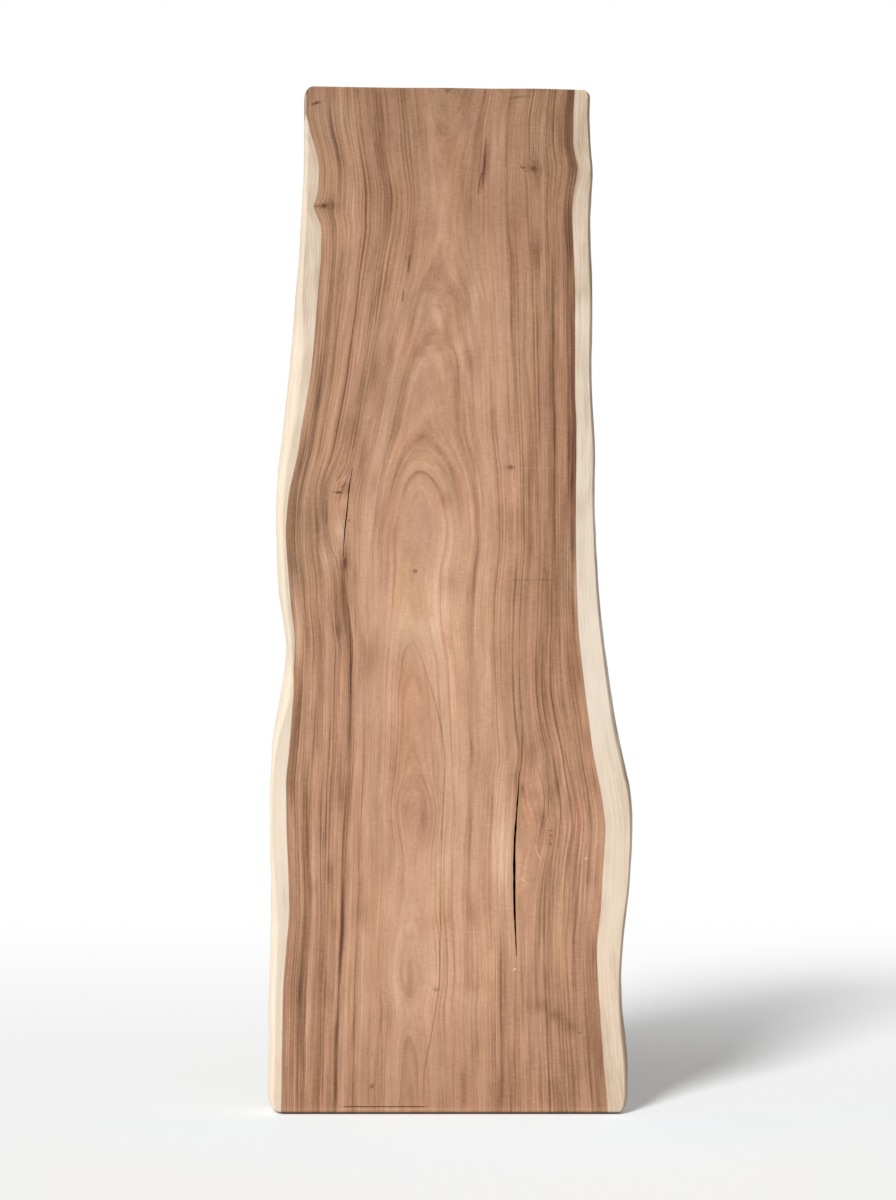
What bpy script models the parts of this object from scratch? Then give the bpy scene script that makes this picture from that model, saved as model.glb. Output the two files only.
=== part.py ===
"""A raw live-edge wood slab, sawn lengthwise from one log and standing on its lower cut end.

Run with: blender --background --python part.py
Metres, +Z up. The origin is on the floor, under the middle of the slab's box. The show face looks
along -Y. The slab grew as one piece, so it is one object: the two natural edges, the planed faces,
the eased cut ends and the drying checks are all forms of the same solid.
"""

import math

import bmesh
import bpy

LENGTH = 2.402
THICKNESS = 0.070
FRONT = -THICKNESS / 2
BACK = THICKNESS / 2

# The outline seen from the front, as (height, x) where each natural edge reaches furthest out
LEFT_EDGE = [
    (0.000, -0.430), (0.150, -0.427), (0.245, -0.4265), (0.340, -0.4235), (0.525, -0.4205),
    (0.665, -0.4225), (0.805, -0.422), (0.898, -0.415), (0.945, -0.406), (0.992, -0.396),
    (1.038, -0.388), (1.085, -0.3855), (1.132, -0.3885), (1.178, -0.397), (1.225, -0.4035),
    (1.300, -0.407), (1.412, -0.408), (1.505, -0.405), (1.552, -0.400), (1.598, -0.3925),
    (1.738, -0.3785), (1.925, -0.363), (2.060, -0.352), (2.205, -0.3445), (2.400, -0.342),
]
RIGHT_EDGE = [
    (0.000, 0.416), (0.105, 0.4175), (0.152, 0.416), (0.198, 0.4095), (0.250, 0.404),
    (0.338, 0.403), (0.432, 0.410), (0.525, 0.422), (0.600, 0.4275), (0.700, 0.429),
    (0.758, 0.424), (0.805, 0.4145), (0.898, 0.392), (1.038, 0.371), (1.132, 0.3585),
    (1.225, 0.350), (1.400, 0.342), (1.465, 0.3405), (1.552, 0.3425), (1.645, 0.3365),
    (1.715, 0.333), (1.832, 0.3335), (1.925, 0.335), (2.065, 0.3295), (2.130, 0.332),
    (2.205, 0.337), (2.270, 0.331), (2.330, 0.328), (2.400, 0.3295),
]

# How far the flat show face stops short of the outline, as (height, distance)
LEFT_SLOPE = [
    (0.00, 0.021), (0.34, 0.022), (0.45, 0.023), (0.54, 0.016), (0.62, 0.011), (0.78, 0.011),
    (0.86, 0.016), (0.95, 0.030), (1.04, 0.027), (1.13, 0.018), (1.23, 0.023), (1.50, 0.025),
    (1.62, 0.033), (1.80, 0.035), (1.92, 0.022), (2.10, 0.018), (2.25, 0.015), (2.40, 0.012),
]
RIGHT_SLOPE = [
    (0.00, 0.010), (0.10, 0.011), (0.18, 0.015), (0.26, 0.010), (0.50, 0.009), (0.74, 0.010),
    (0.83, 0.014), (0.92, 0.012), (1.10, 0.010), (1.50, 0.009), (2.00, 0.009), (2.40, 0.008),
]

# Where the natural edges are widest, as a depth behind the show face, and how they turn at the back
LEFT_BELLY_DEPTH = 0.040
RIGHT_BELLY_DEPTH = 0.026
BELLY_SWAY = 0.006
LEFT_BACK_ROUNDING = 0.009
RIGHT_BACK_ROUNDING = 0.013
BACK_SWAY = 0.003
SLOPE_POWER = 1.6
ROUND_POWER = 2.2

# The cut ends: eased arrises, and corners rounded in the outline as (width, height)
FOOT_FRONT_ARRIS = 0.009
FOOT_BACK_ARRIS = 0.005
TOP_ARRIS = 0.0035
FOOT_LEFT_CORNER = (0.026, 0.044)
FOOT_RIGHT_CORNER = (0.020, 0.044)
TOP_LEFT_CORNER = (0.012, 0.022)
TOP_RIGHT_CORNER = (0.009, 0.013)
# The upper cut falls a little to the right and isn't quite straight, as (x, drop below LENGTH)
TOP_DROP = [(-0.335, 0.0), (-0.22, 0.0022), (-0.16, 0.0036), (0.0, 0.0040), (0.06, 0.0057),
            (0.20, 0.0056), (0.27, 0.0068), (0.33, 0.0098)]
TOP_DROP_REACH = 0.12

# Sampling of the solid
STATION_STEP = 0.026
FOOT_STATIONS = 9
TOP_STATIONS = 6
SIDE_STEPS = 4
FACE_COLUMNS = 6

# Drying checks: (name, path as (height, x), width at the surface, depth)
CHECKS = [
    (
        "right_check",
        [(0.387, 0.1552), (0.430, 0.1534), (0.480, 0.1514), (0.534, 0.1506), (0.581, 0.1506),
         (0.628, 0.1513), (0.681, 0.1546), (0.721, 0.1572), (0.759, 0.1602), (0.792, 0.1621)],
        0.0056,
        0.030,
    ),
    (
        "left_check",
        [(1.309, -0.2482), (1.359, -0.2454), (1.400, -0.2409), (1.440, -0.2370),
         (1.472, -0.2337), (1.504, -0.2281)],
        0.0032,
        0.018,
    ),
]
CHECK_STATIONS = 18
CHECK_TIP_SHARE = 0.12
CUTTER_MARGIN = 0.006

# A fine split along the foot, just above its eased arris
FOOT_SPLIT_HEIGHT = 0.0185
FOOT_SPLIT_START = -0.244
FOOT_SPLIT_END = -0.062
FOOT_SPLIT_WIDTH = 0.0020
FOOT_SPLIT_DEPTH = 0.004

WOOD_COLOUR = (0.47, 0.26, 0.155, 1.0)
WOOD_ROUGHNESS = 0.62


def through(points, at):
    """The value at one place of a smooth curve through (place, value) points."""
    if at <= points[0][0]:
        return points[0][1]
    if at >= points[-1][0]:
        return points[-1][1]
    i = max(k for k in range(len(points) - 1) if points[k][0] <= at)

    def slope(k):
        a, b = points[max(k - 1, 0)], points[min(k + 1, len(points) - 1)]
        return (b[1] - a[1]) / (b[0] - a[0])

    (x0, y0), (x1, y1) = points[i], points[i + 1]
    span = x1 - x0
    t = (at - x0) / span
    return (
        (2 * t**3 - 3 * t**2 + 1) * y0
        + (t**3 - 2 * t**2 + t) * span * slope(i)
        + (3 * t**2 - 2 * t**3) * y1
        + (t**3 - t**2) * span * slope(i + 1)
    )


def quarter(inset, reach, distance):
    """How far a quarter ellipse lies in from the edge, at a distance from the cut end."""
    if distance >= reach:
        return 0.0
    share = (reach - distance) / reach
    return inset * (1 - math.sqrt(max(0.0, 1 - share**2)))


def superellipse(power, turn):
    """The two shares, across and deep, of a rounded quarter turn between 0 and 1."""
    angle = turn * math.pi / 2
    return max(0.0, math.sin(angle)) ** (2 / power), max(0.0, math.cos(angle)) ** (2 / power)


def edge_profile(outer, inward, slope, belly, rounding, front, back):
    """One natural edge in plan, from the show face round to the back, as (x, y) points."""
    points = []
    for k in range(SIDE_STEPS):
        across, deep = superellipse(SLOPE_POWER, k / SIDE_STEPS)
        points.append((outer + inward * slope * (1 - across), front + (belly - front) * (1 - deep)))
    for k in range(SIDE_STEPS + 1):
        deep, across = superellipse(ROUND_POWER, k / SIDE_STEPS)
        points.append((outer + inward * rounding * (1 - across), belly + (back - belly) * deep))
    return points


def between(start, end, count):
    """Evenly spaced points strictly between two plan points."""
    return [
        tuple(a + (b - a) * k / count for a, b in zip(start, end)) for k in range(1, count)
    ]


def section(height):
    """The closed plan outline of the slab at one height, the same number of points each time."""
    up = LENGTH - height
    front = FRONT + quarter(FOOT_FRONT_ARRIS, FOOT_FRONT_ARRIS, height) + quarter(TOP_ARRIS, TOP_ARRIS, up)
    back = BACK - quarter(FOOT_BACK_ARRIS, FOOT_BACK_ARRIS, height) - quarter(TOP_ARRIS, TOP_ARRIS, up)
    left_inset = quarter(*FOOT_LEFT_CORNER, height) + quarter(*TOP_LEFT_CORNER, up)
    right_inset = quarter(*FOOT_RIGHT_CORNER, height) + quarter(*TOP_RIGHT_CORNER, up)
    sway = math.sin(height * 7.3 + 0.6) + 0.5 * math.sin(height * 17.1)
    left = edge_profile(
        through(LEFT_EDGE, height) + left_inset,
        1,
        through(LEFT_SLOPE, height),
        FRONT + LEFT_BELLY_DEPTH + BELLY_SWAY * sway,
        LEFT_BACK_ROUNDING + BACK_SWAY * math.sin(height * 9.7),
        front,
        back,
    )
    right = edge_profile(
        through(RIGHT_EDGE, height) - right_inset,
        -1,
        through(RIGHT_SLOPE, height),
        FRONT + RIGHT_BELLY_DEPTH - BELLY_SWAY * sway,
        RIGHT_BACK_ROUNDING + BACK_SWAY * math.sin(height * 8.1 + 1.0),
        front,
        back,
    )
    right.reverse()
    back_face = between(left[-1], right[0], FACE_COLUMNS)
    front_face = between(right[-1], left[0], FACE_COLUMNS)
    return left + back_face + right + front_face


def stations():
    """Heights of the sections: closely spaced where the ends are rounded, evenly between."""
    foot_reach = FOOT_LEFT_CORNER[1]
    top_reach = TOP_LEFT_CORNER[1]
    foot = [
        foot_reach * (1 - math.cos(k / FOOT_STATIONS * math.pi / 2)) for k in range(FOOT_STATIONS)
    ]
    top = [
        LENGTH - top_reach * (1 - math.cos(k / TOP_STATIONS * math.pi / 2))
        for k in range(TOP_STATIONS)
    ]
    plain = LENGTH - foot_reach - top_reach
    count = round(plain / STATION_STEP)
    middle = [foot_reach + plain * k / count for k in range(count + 1)]
    return foot + middle + top[::-1]


def lowered(x, height):
    """The height of a point once the upper cut's fall to the right is taken off it."""
    share = min(1.0, max(0.0, 1 - (LENGTH - height) / TOP_DROP_REACH))
    return height - through(TOP_DROP, x) * share**2 * (3 - 2 * share)


def mesh_object(name, mesh_builder, collection):
    """A new object in the collection, its mesh closed, welded and facing out."""
    bm = bmesh.new()
    mesh_builder(bm)
    bmesh.ops.remove_doubles(bm, verts=bm.verts, dist=1e-6)
    bmesh.ops.recalc_face_normals(bm, faces=bm.faces)
    mesh = bpy.data.meshes.new(name)
    bm.to_mesh(mesh)
    bm.free()
    obj = bpy.data.objects.new(name, mesh)
    collection.objects.link(obj)
    return obj


def skin(bm, rings):
    """Faces between consecutive rings of vertices, and a cap over each end."""
    for lower, upper in zip(rings, rings[1:]):
        for k in range(len(lower)):
            n = (k + 1) % len(lower)
            bm.faces.new((lower[k], lower[n], upper[n], upper[k]))
    caps = [bm.faces.new(rings[0][::-1]), bm.faces.new(rings[-1])]
    bmesh.ops.triangulate(bm, faces=caps)


def build_slab(bm):
    rings = [
        [bm.verts.new((x, y, lowered(x, height))) for x, y in section(height)]
        for height in stations()
    ]
    skin(bm, rings)


def check_cutter(path, width, depth):
    """A wedge that opens a drying check in the show face, thin and shallow at both tips."""

    def build(bm):
        low, high = path[0][0], path[-1][0]
        rings = []
        for k in range(CHECK_STATIONS + 1):
            share = k / CHECK_STATIONS
            height = low + (high - low) * share
            x = through(path, height)
            open_share = max(CHECK_TIP_SHARE, math.sin(share * math.pi) ** 0.6)
            half = width / 2 * open_share * (depth + CUTTER_MARGIN) / depth
            rings.append(
                [
                    bm.verts.new((x - half, FRONT - CUTTER_MARGIN, height)),
                    bm.verts.new((x + half, FRONT - CUTTER_MARGIN, height)),
                    bm.verts.new((x, FRONT + depth * open_share, height)),
                ]
            )
        skin(bm, rings)

    return build


def foot_split_cutter(bm):
    """A thin wedge lying across the foot."""
    half = FOOT_SPLIT_WIDTH / 2 * (FOOT_SPLIT_DEPTH + CUTTER_MARGIN) / FOOT_SPLIT_DEPTH
    rings = []
    for x in (FOOT_SPLIT_START, FOOT_SPLIT_END):
        rings.append(
            [
                bm.verts.new((x, FRONT - CUTTER_MARGIN, FOOT_SPLIT_HEIGHT - half)),
                bm.verts.new((x, FRONT - CUTTER_MARGIN, FOOT_SPLIT_HEIGHT + half)),
                bm.verts.new((x, FRONT + FOOT_SPLIT_DEPTH, FOOT_SPLIT_HEIGHT)),
            ]
        )
    skin(bm, rings)


def cut(target, cutter):
    """Takes the cutter's shape out of the target, and keeps the cutter as a hidden guide."""
    cutter.hide_render = True
    cutter.display_type = "WIRE"
    boolean = target.modifiers.new(cutter.name, "BOOLEAN")
    boolean.operation = "DIFFERENCE"
    boolean.object = cutter


def wood_material():
    material = bpy.data.materials.new("wood")
    material.use_nodes = True
    shader = material.node_tree.nodes["Principled BSDF"]
    shader.inputs["Base Color"].default_value = WOOD_COLOUR
    shader.inputs["Roughness"].default_value = WOOD_ROUGHNESS
    shader.inputs["Metallic"].default_value = 0.0
    return material


def main():
    for obj in list(bpy.data.objects):
        bpy.data.objects.remove(obj)
    parts = bpy.data.collections.new("live_edge_wood_slab")
    cutters = bpy.data.collections.new("cutters")
    for collection in (parts, cutters):
        bpy.context.scene.collection.children.link(collection)

    slab = mesh_object("slab", build_slab, parts)
    slab.data.materials.append(wood_material())
    slab.data.shade_smooth()
    slab.data.set_sharp_from_angle(angle=math.radians(40))
    for name, path, width, depth in CHECKS:
        cut(slab, mesh_object(name, check_cutter(path, width, depth), cutters))
    cut(slab, mesh_object("foot_split", foot_split_cutter, cutters))


main()
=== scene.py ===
"""The looks of a raw live-edge wood slab standing on its cut end: surface, wood and a pale studio."""

import math

import bpy
import numpy as np
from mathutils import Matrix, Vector, geometry
from mathutils.bvhtree import BVHTree


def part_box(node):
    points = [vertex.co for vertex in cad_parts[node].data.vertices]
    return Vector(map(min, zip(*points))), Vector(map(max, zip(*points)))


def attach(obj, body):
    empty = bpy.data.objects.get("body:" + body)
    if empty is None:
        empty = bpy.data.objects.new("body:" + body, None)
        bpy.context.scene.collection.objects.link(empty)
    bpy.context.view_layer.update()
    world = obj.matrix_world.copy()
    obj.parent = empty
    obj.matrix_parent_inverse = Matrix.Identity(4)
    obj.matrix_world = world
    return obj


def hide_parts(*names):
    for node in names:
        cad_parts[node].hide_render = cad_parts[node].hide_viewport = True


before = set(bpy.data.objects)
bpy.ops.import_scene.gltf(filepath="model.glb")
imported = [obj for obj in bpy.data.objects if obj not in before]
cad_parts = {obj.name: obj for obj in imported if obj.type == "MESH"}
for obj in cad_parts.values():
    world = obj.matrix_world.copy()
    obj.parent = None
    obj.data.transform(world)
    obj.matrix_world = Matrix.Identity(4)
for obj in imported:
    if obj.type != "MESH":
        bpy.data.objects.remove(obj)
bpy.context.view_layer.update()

CAD_NODE = "slab"
LOW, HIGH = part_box(CAD_NODE)
LENGTH = HIGH.z
FRONT, BACK = LOW.y, HIGH.y

# The grain on the show face, as lines of (height, x) that it follows from end to end
LEFT_SAP_LINE = [
    (0.01, -0.394), (0.2, -0.391), (0.29, -0.389), (0.385, -0.382), (0.48, -0.375), (0.57, -0.377),
    (0.67, -0.381), (0.77, -0.382), (0.85, -0.375), (0.955, -0.367), (1.003, -0.364), (1.038, -0.365),
    (1.073, -0.362), (1.11, -0.362), (1.155, -0.366), (1.19, -0.371), (1.235, -0.375), (1.29, -0.379),
    (1.35, -0.3825), (1.41, -0.379), (1.455, -0.373), (1.495, -0.364), (1.54, -0.3545), (1.6, -0.346),
    (1.66, -0.336), (1.74, -0.3235), (1.925, -0.3075), (2.02, -0.3005), (2.065, -0.3005), (2.112, -0.312),
    (2.16, -0.3075), (2.205, -0.305), (2.25, -0.312), (2.3, -0.326), (2.345, -0.333), (2.4, -0.333),
]
LEFT_STREAK = [
    (0.01, -0.2635), (0.27, -0.2585), (0.43, -0.252), (0.595, -0.248), (0.735, -0.242), (0.85, -0.236),
    (1.01, -0.2345), (1.085, -0.2315), (1.2, -0.2445), (1.309, -0.2482), (1.359, -0.2454), (1.4, -0.2409),
    (1.44, -0.237), (1.472, -0.2337), (1.504, -0.2281), (1.55, -0.2235), (1.715, -0.195), (1.94, -0.16),
    (2.135, -0.1345), (2.25, -0.149), (2.4, -0.163),
]
HEART_LINE = [
    (0.01, -0.098), (0.385, -0.0925), (0.62, -0.086), (0.76, -0.088), (1.11, -0.087), (1.353, -0.074),
    (1.54, -0.065), (1.815, -0.041), (1.955, -0.03), (2.4, -0.009),
]
RIGHT_STREAK = [
    (0.01, 0.1615), (0.27, 0.157), (0.387, 0.1552), (0.43, 0.1534), (0.48, 0.1514), (0.534, 0.1506),
    (0.581, 0.1506), (0.628, 0.1513), (0.681, 0.1546), (0.721, 0.1572), (0.759, 0.1602), (0.792, 0.1621),
    (0.835, 0.1685), (0.91, 0.1615), (1.03, 0.1545), (1.11, 0.1523), (1.2, 0.1545), (1.34, 0.164),
    (1.54, 0.16), (1.7, 0.154), (1.86, 0.1495), (2.02, 0.145), (2.1, 0.1405), (2.3, 0.1373),
    (2.39, 0.1513),
]
RIGHT_SAP_LINE = [
    (0.01, 0.369), (0.15, 0.3575), (0.245, 0.3505), (0.315, 0.346), (0.385, 0.3435), (0.48, 0.353),
    (0.57, 0.3575), (0.665, 0.3623), (0.76, 0.3505), (0.85, 0.3343), (0.945, 0.3225), (1.04, 0.311),
    (1.13, 0.3015), (1.225, 0.297), (1.365, 0.2945), (1.6, 0.296), (1.69, 0.293), (1.88, 0.293),
    (1.98, 0.291), (2.03, 0.289), (2.1, 0.2865), (2.153, 0.29), (2.182, 0.295), (2.211, 0.2985),
    (2.24, 0.293), (2.275, 0.2885), (2.32, 0.289), (2.4, 0.293),
]
GRAIN_LINES = (LEFT_SAP_LINE, LEFT_STREAK, HEART_LINE, RIGHT_STREAK, RIGHT_SAP_LINE)

# The growth rings: how far behind the show face the pith lies, as (height, depth)
PITH_DEPTH = [
    (0.01, 0.059), (0.15, 0.062), (0.24, 0.067), (0.325, 0.058), (0.41, 0.062), (0.49, 0.07),
    (0.595, 0.072), (0.707, 0.064), (0.795, 0.074), (0.875, 0.078), (0.97, 0.08), (1.06, 0.084),
    (1.11, 0.09), (1.18, 0.097), (1.27, 0.099), (1.353, 0.095), (1.435, 0.101), (1.505, 0.112),
    (1.55, 0.122), (1.6, 0.13), (1.67, 0.134), (1.76, 0.139), (1.815, 0.145), (1.9, 0.15), (1.955, 0.158),
    (2.04, 0.161), (2.1, 0.162), (2.25, 0.158), (2.4, 0.149),
]
STREAK_RADIUS = 0.2136
SAP_RADIUS = 0.340
RING_WIDTH = 0.0060
PITH_LEAN = 0.75
OUTSIDE = 0.2

# How deep behind the show face its own bulges, patches and marks start to fade and are gone
SHOW_REACH = (0.010, 0.045)

# Fineness of the surface mesh, and where it probes the solid
ROW_STEP = 0.0115
DETAIL_STEP = 0.0060
DETAIL_ZONES = ((0.60, 0.79), (1.27, 1.49), (2.10, 2.24))
END_REACH = 0.048
END_ROWS = 11
SIDE_POINTS = 12
BACK_COLUMNS = 36
CAP_STEP = 0.009
PROBE_X = 0.08
TOP_PROBES = {-1: -0.325, 1: 0.314}
TOP_FALL_REACH = 0.12

# Columns of the show face: from the left rim up to each of GRAIN_LINES, then on to the right rim
FRONT_COLUMNS = (8, 56, 56, 84, 70, 11)

# The drying checks: their span in height, their width at the surface and their depth. The columns of
# the mesh stay PLAIN_GAP apart beyond them, and they are painted darker within DARK_DEPTH, partly as their
# own darker wood and partly as painted shade.
RIGHT_CHECK = {"low": 0.372, "high": 0.797, "width": 0.0064, "depth": 0.030, "seed": 11}
LEFT_CHECK = {"low": 1.305, "high": 1.507, "width": 0.0032, "depth": 0.018, "seed": 12}
CHECK_SHAPE = ((-1.0, 0.0), (-0.7, 0.45), (0.0, 1.0), (0.7, 0.45))
PLAIN_GAP = 0.0016
DARK_DEPTH = 0.006
FOOT_SPLIT = {"height": 0.0185, "left": -0.244, "right": -0.060, "half": 0.0011, "depth": 0.0026}
FOOT_SPLIT_TAPER = 0.012

# The natural edges: how far they swell, the least sapwood in front, and how their facets are smoothed
EDGE_SWELL = 0.0007
LEAST_SAPWOOD = 0.0012
END_BLEND = (0.05, 0.09)
SMOOTHING = np.array([1, 2, 3, 4, 3, 2, 1]) / 16
SHARP_ANGLE = math.radians(38)


def rise(values, start, end):
    """A smooth step from 0 at start to 1 at end."""
    t = np.clip((np.asarray(values) - start) / (end - start), 0, 1)
    return t * t * (3 - 2 * t)


def bell(values, centre, width):
    """A soft bump, 1 at the centre and about 0 two widths away."""
    return np.exp(-(((values - centre) / width) ** 2))


def span(values, low, high, soft):
    """1 between low and high, falling smoothly to 0 outside them."""
    return rise(values, low - soft, low + soft) * (1 - rise(values, high - soft, high + soft))


def hermite(at, knots, values):
    """A smooth curve with no overshoot through each row's knots, read at each row's places."""
    gaps = np.diff(knots, axis=1)
    slopes = np.diff(values, axis=1) / gaps
    before, after = slopes[:, :-1], slopes[:, 1:]
    w1 = 2 * gaps[:, 1:] + gaps[:, :-1]
    w2 = gaps[:, 1:] + 2 * gaps[:, :-1]
    same = before * after > 0
    safe_before, safe_after = np.where(same, before, 1.0), np.where(same, after, 1.0)
    inner = np.where(same, (w1 + w2) / (w1 / safe_before + w2 / safe_after), 0.0)
    tangents = np.concatenate([slopes[:, :1], inner, slopes[:, -1:]], axis=1)
    cell = (at[:, :, None] >= knots[:, None, 1:-1]).sum(2)

    def pick(array, shift=0):
        return np.take_along_axis(array, cell + shift, 1)

    gap = pick(gaps)
    t = (at - pick(knots)) / gap
    return (
        (2 * t**3 - 3 * t**2 + 1) * pick(values)
        + (t**3 - 2 * t**2 + t) * gap * pick(tangents)
        + (3 * t**2 - 2 * t**3) * pick(values, 1)
        + (t**3 - t**2) * gap * pick(tangents, 1)
    )


def along(line, heights):
    """A listed line of (height, value) points, read at the given heights."""
    points = np.array(line)
    at = np.clip(np.asarray(heights, float).ravel(), points[0, 0], points[-1, 0])
    return hermite(at[None], points[None, :, 0], points[None, :, 1])[0].reshape(np.shape(heights))


def ripple(seed, *places, waves=9):
    """Smooth irregular variation between about -1 and 1, one wave length a unit of the places."""
    draw = np.random.default_rng(seed)
    total = 0
    for _ in range(waves):
        phase = draw.uniform(0, 2 * math.pi)
        for place in places:
            phase = phase + draw.normal(0, 4.5) * place
        total = total + np.sin(phase)
    return total / math.sqrt(waves / 2) / 1.6


def cad_surface():
    """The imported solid, ready to be probed by rays."""
    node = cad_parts[CAD_NODE]
    corners = [node.matrix_world @ v.co for v in node.data.vertices]
    return BVHTree.FromPolygons(corners, [tuple(p.vertices) for p in node.data.polygons])


def probe(solid, start, direction):
    """Where a ray first meets the solid."""
    return solid.ray_cast(Vector(start), Vector(direction))[0]


def body_heights():
    """Heights of the rows between the eased ends, closer together where there are knots."""
    heights = [END_REACH]
    while heights[-1] < LENGTH - END_REACH:
        fine = any(low < heights[-1] < high for low, high in DETAIL_ZONES)
        heights.append(heights[-1] + (DETAIL_STEP if fine else ROW_STEP))
    return np.interp(heights, (heights[0], heights[-1]), (END_REACH, LENGTH - END_REACH))


def row_heights():
    """Heights of the mesh rows: close together at the eased ends and at the foot split."""
    turn = np.linspace(0, math.pi / 2, END_ROWS, endpoint=False)
    foot = END_REACH * (1 - np.cos(turn))
    split = FOOT_SPLIT["height"] + FOOT_SPLIT["half"] * np.array([-2.0, -1.0, 0.0, 1.0, 2.0])
    foot = foot[np.abs(foot - FOOT_SPLIT["height"]) > 3 * FOOT_SPLIT["half"]]
    top = LENGTH - END_REACH * (1 - np.cos(turn))
    return np.sort(np.concatenate([foot, split, body_heights(), top]))


def softened(profile, heights, rounds=3):
    """The profile with the solid's facets smoothed away between the ends."""
    inside = rise(np.minimum(heights, LENGTH - heights), *END_BLEND)[:, None]
    reach = len(SMOOTHING) // 2
    smooth = profile
    for _ in range(rounds):
        wide = np.pad(smooth, ((reach, reach), (0, 0)), mode="edge")
        smooth = sum(wide[k : k + len(smooth)] * weight for k, weight in enumerate(SMOOTHING))
    return profile + (smooth - profile) * inside


def measure_solid(heights):
    """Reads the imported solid: both natural edges, both faces and the upper cut."""
    solid = cad_surface()
    far, hair = 1.0, 0.0003
    columns = np.linspace(TOP_PROBES[-1], TOP_PROBES[1], 25)
    fall = np.array([LENGTH - probe(solid, (x, 0.0, 3.0), (0, 0, -1)).z for x in columns])
    share = rise(heights, LENGTH - TOP_FALL_REACH, LENGTH)
    deep = (1 - np.cos(np.linspace(0, math.pi, SIDE_POINTS))) / 2
    inward = np.clip(deep, 0.01, 0.99)
    faces, edges = [], {-1: [], 1: []}

    def level(x, height, part):
        drop = np.interp(x, columns, fall)
        return min(max(height - part * drop, hair), LENGTH - drop - 2 * hair)

    for height, part in zip(heights, share):
        z = level(PROBE_X, height, part)
        front = probe(solid, (PROBE_X, -far, z), (0, 1, 0)).y
        back = probe(solid, (PROBE_X, far, z), (0, -1, 0)).y
        faces.append((front, back))
        for side in (-1, 1):
            z = level(TOP_PROBES[side], height, part)
            depths = front + (back - front) * inward
            edges[side].append([probe(solid, (side * far, y, z), (-side, 0, 0)).x for y in depths])
    return {
        "faces": np.array(faces),
        "left": softened(np.array(edges[-1]), heights),
        "right": softened(np.array(edges[1]), heights),
        "deep": deep,
        "fall": (columns, fall),
        "share": share,
    }


def check_opening(check, heights):
    """How open a drying check is at each height, with torn irregular lips."""
    middle = (heights - check["low"]) / (check["high"] - check["low"])
    body = np.sin(np.clip(middle, 0, 1) * math.pi) ** 0.55
    torn = 1 + 0.2 * ripple(check["seed"], heights * 11) + 0.12 * ripple(check["seed"] + 1, heights * 40)
    return body * np.clip(torn, 0.3, 1.25)


def front_columns(rim_left, rim_right, heights):
    """The show face's columns from left to right, as (x, groove depth), and their places in a check.

    They run with the grain, and close in on the two checks, where they dip into the wood.
    """
    sap_left, streak_left, heart, streak_right, sap_right = (along(line, heights) for line in GRAIN_LINES)
    sap_left = np.maximum(sap_left, rim_left + LEAST_SAPWOOD)
    sap_right = np.minimum(sap_right, rim_right - LEAST_SAPWOOD)
    columns = []

    def stretch(start, end, count, first=0):
        for step in range(first, count):
            columns.append((start + (end - start) * step / count, np.zeros_like(heights)))

    def lips(line, check):
        half = np.maximum(check_opening(check, heights) * check["width"], PLAIN_GAP) / 2
        return line - half, line + half

    def dip(line, check):
        opening = check_opening(check, heights)
        near, far = lips(line, check)
        for offset, share in CHECK_SHAPE:
            columns.append((line + (far - near) / 2 * offset, check["depth"] * share * opening**0.7))

    counts = iter(FRONT_COLUMNS)
    stretch(rim_left, sap_left, next(counts), first=1)
    stretch(sap_left, lips(streak_left, LEFT_CHECK)[0], next(counts))
    dip(streak_left, LEFT_CHECK)
    stretch(lips(streak_left, LEFT_CHECK)[1], heart, next(counts))
    stretch(heart, lips(streak_right, RIGHT_CHECK)[0], next(counts))
    dip(streak_right, RIGHT_CHECK)
    stretch(lips(streak_right, RIGHT_CHECK)[1], sap_right, next(counts))
    stretch(sap_right, rim_right, next(counts))
    x, groove = zip(*columns)
    return np.stack(x, 1), np.stack(groove, 1)


def slab_points(heights, solid):
    """The closed rings of surface points, one for each height: left edge, back, right edge, show face."""
    front, back = solid["faces"][:, :1], solid["faces"][:, 1:]
    deep = solid["deep"][None]
    side_y = front + (back - front) * deep
    swell = EDGE_SWELL * np.sin(math.pi * deep) ** 2
    z = heights[:, None]

    def waves(seed):
        return ripple(seed, z * 7, deep * 1.1) + 0.5 * ripple(seed + 1, z * 22, deep * 2)

    left = np.maximum(solid["left"] + swell * waves(21), LOW.x)
    right = np.minimum(solid["right"] - swell * waves(23), HIGH.x)
    shares = np.linspace(0, 1, BACK_COLUMNS + 2)[1:-1]
    back_x = left[:, -1:] + (right[:, -1:] - left[:, -1:]) * shares
    front_x, groove = front_columns(left[:, 0], right[:, 0], heights)
    row = np.argmin(np.abs(heights - FOOT_SPLIT["height"]))
    open_here = span(front_x[row], FOOT_SPLIT["left"], FOOT_SPLIT["right"], FOOT_SPLIT_TAPER)
    groove[row] += FOOT_SPLIT["depth"] * open_here
    front_x, groove = front_x[:, ::-1], groove[:, ::-1]
    xs = np.concatenate([left, back_x, right[:, ::-1], front_x], 1)
    ys = np.concatenate([side_y, np.broadcast_to(back, back_x.shape), side_y[:, ::-1], front + groove], 1)
    grooves = np.concatenate([np.zeros((len(heights), xs.shape[1] - groove.shape[1])), groove], 1)
    zs = heights[:, None] - np.interp(xs, *solid["fall"]) * solid["share"][:, None]
    return np.stack([xs, ys, zs], 2), grooves


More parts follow.
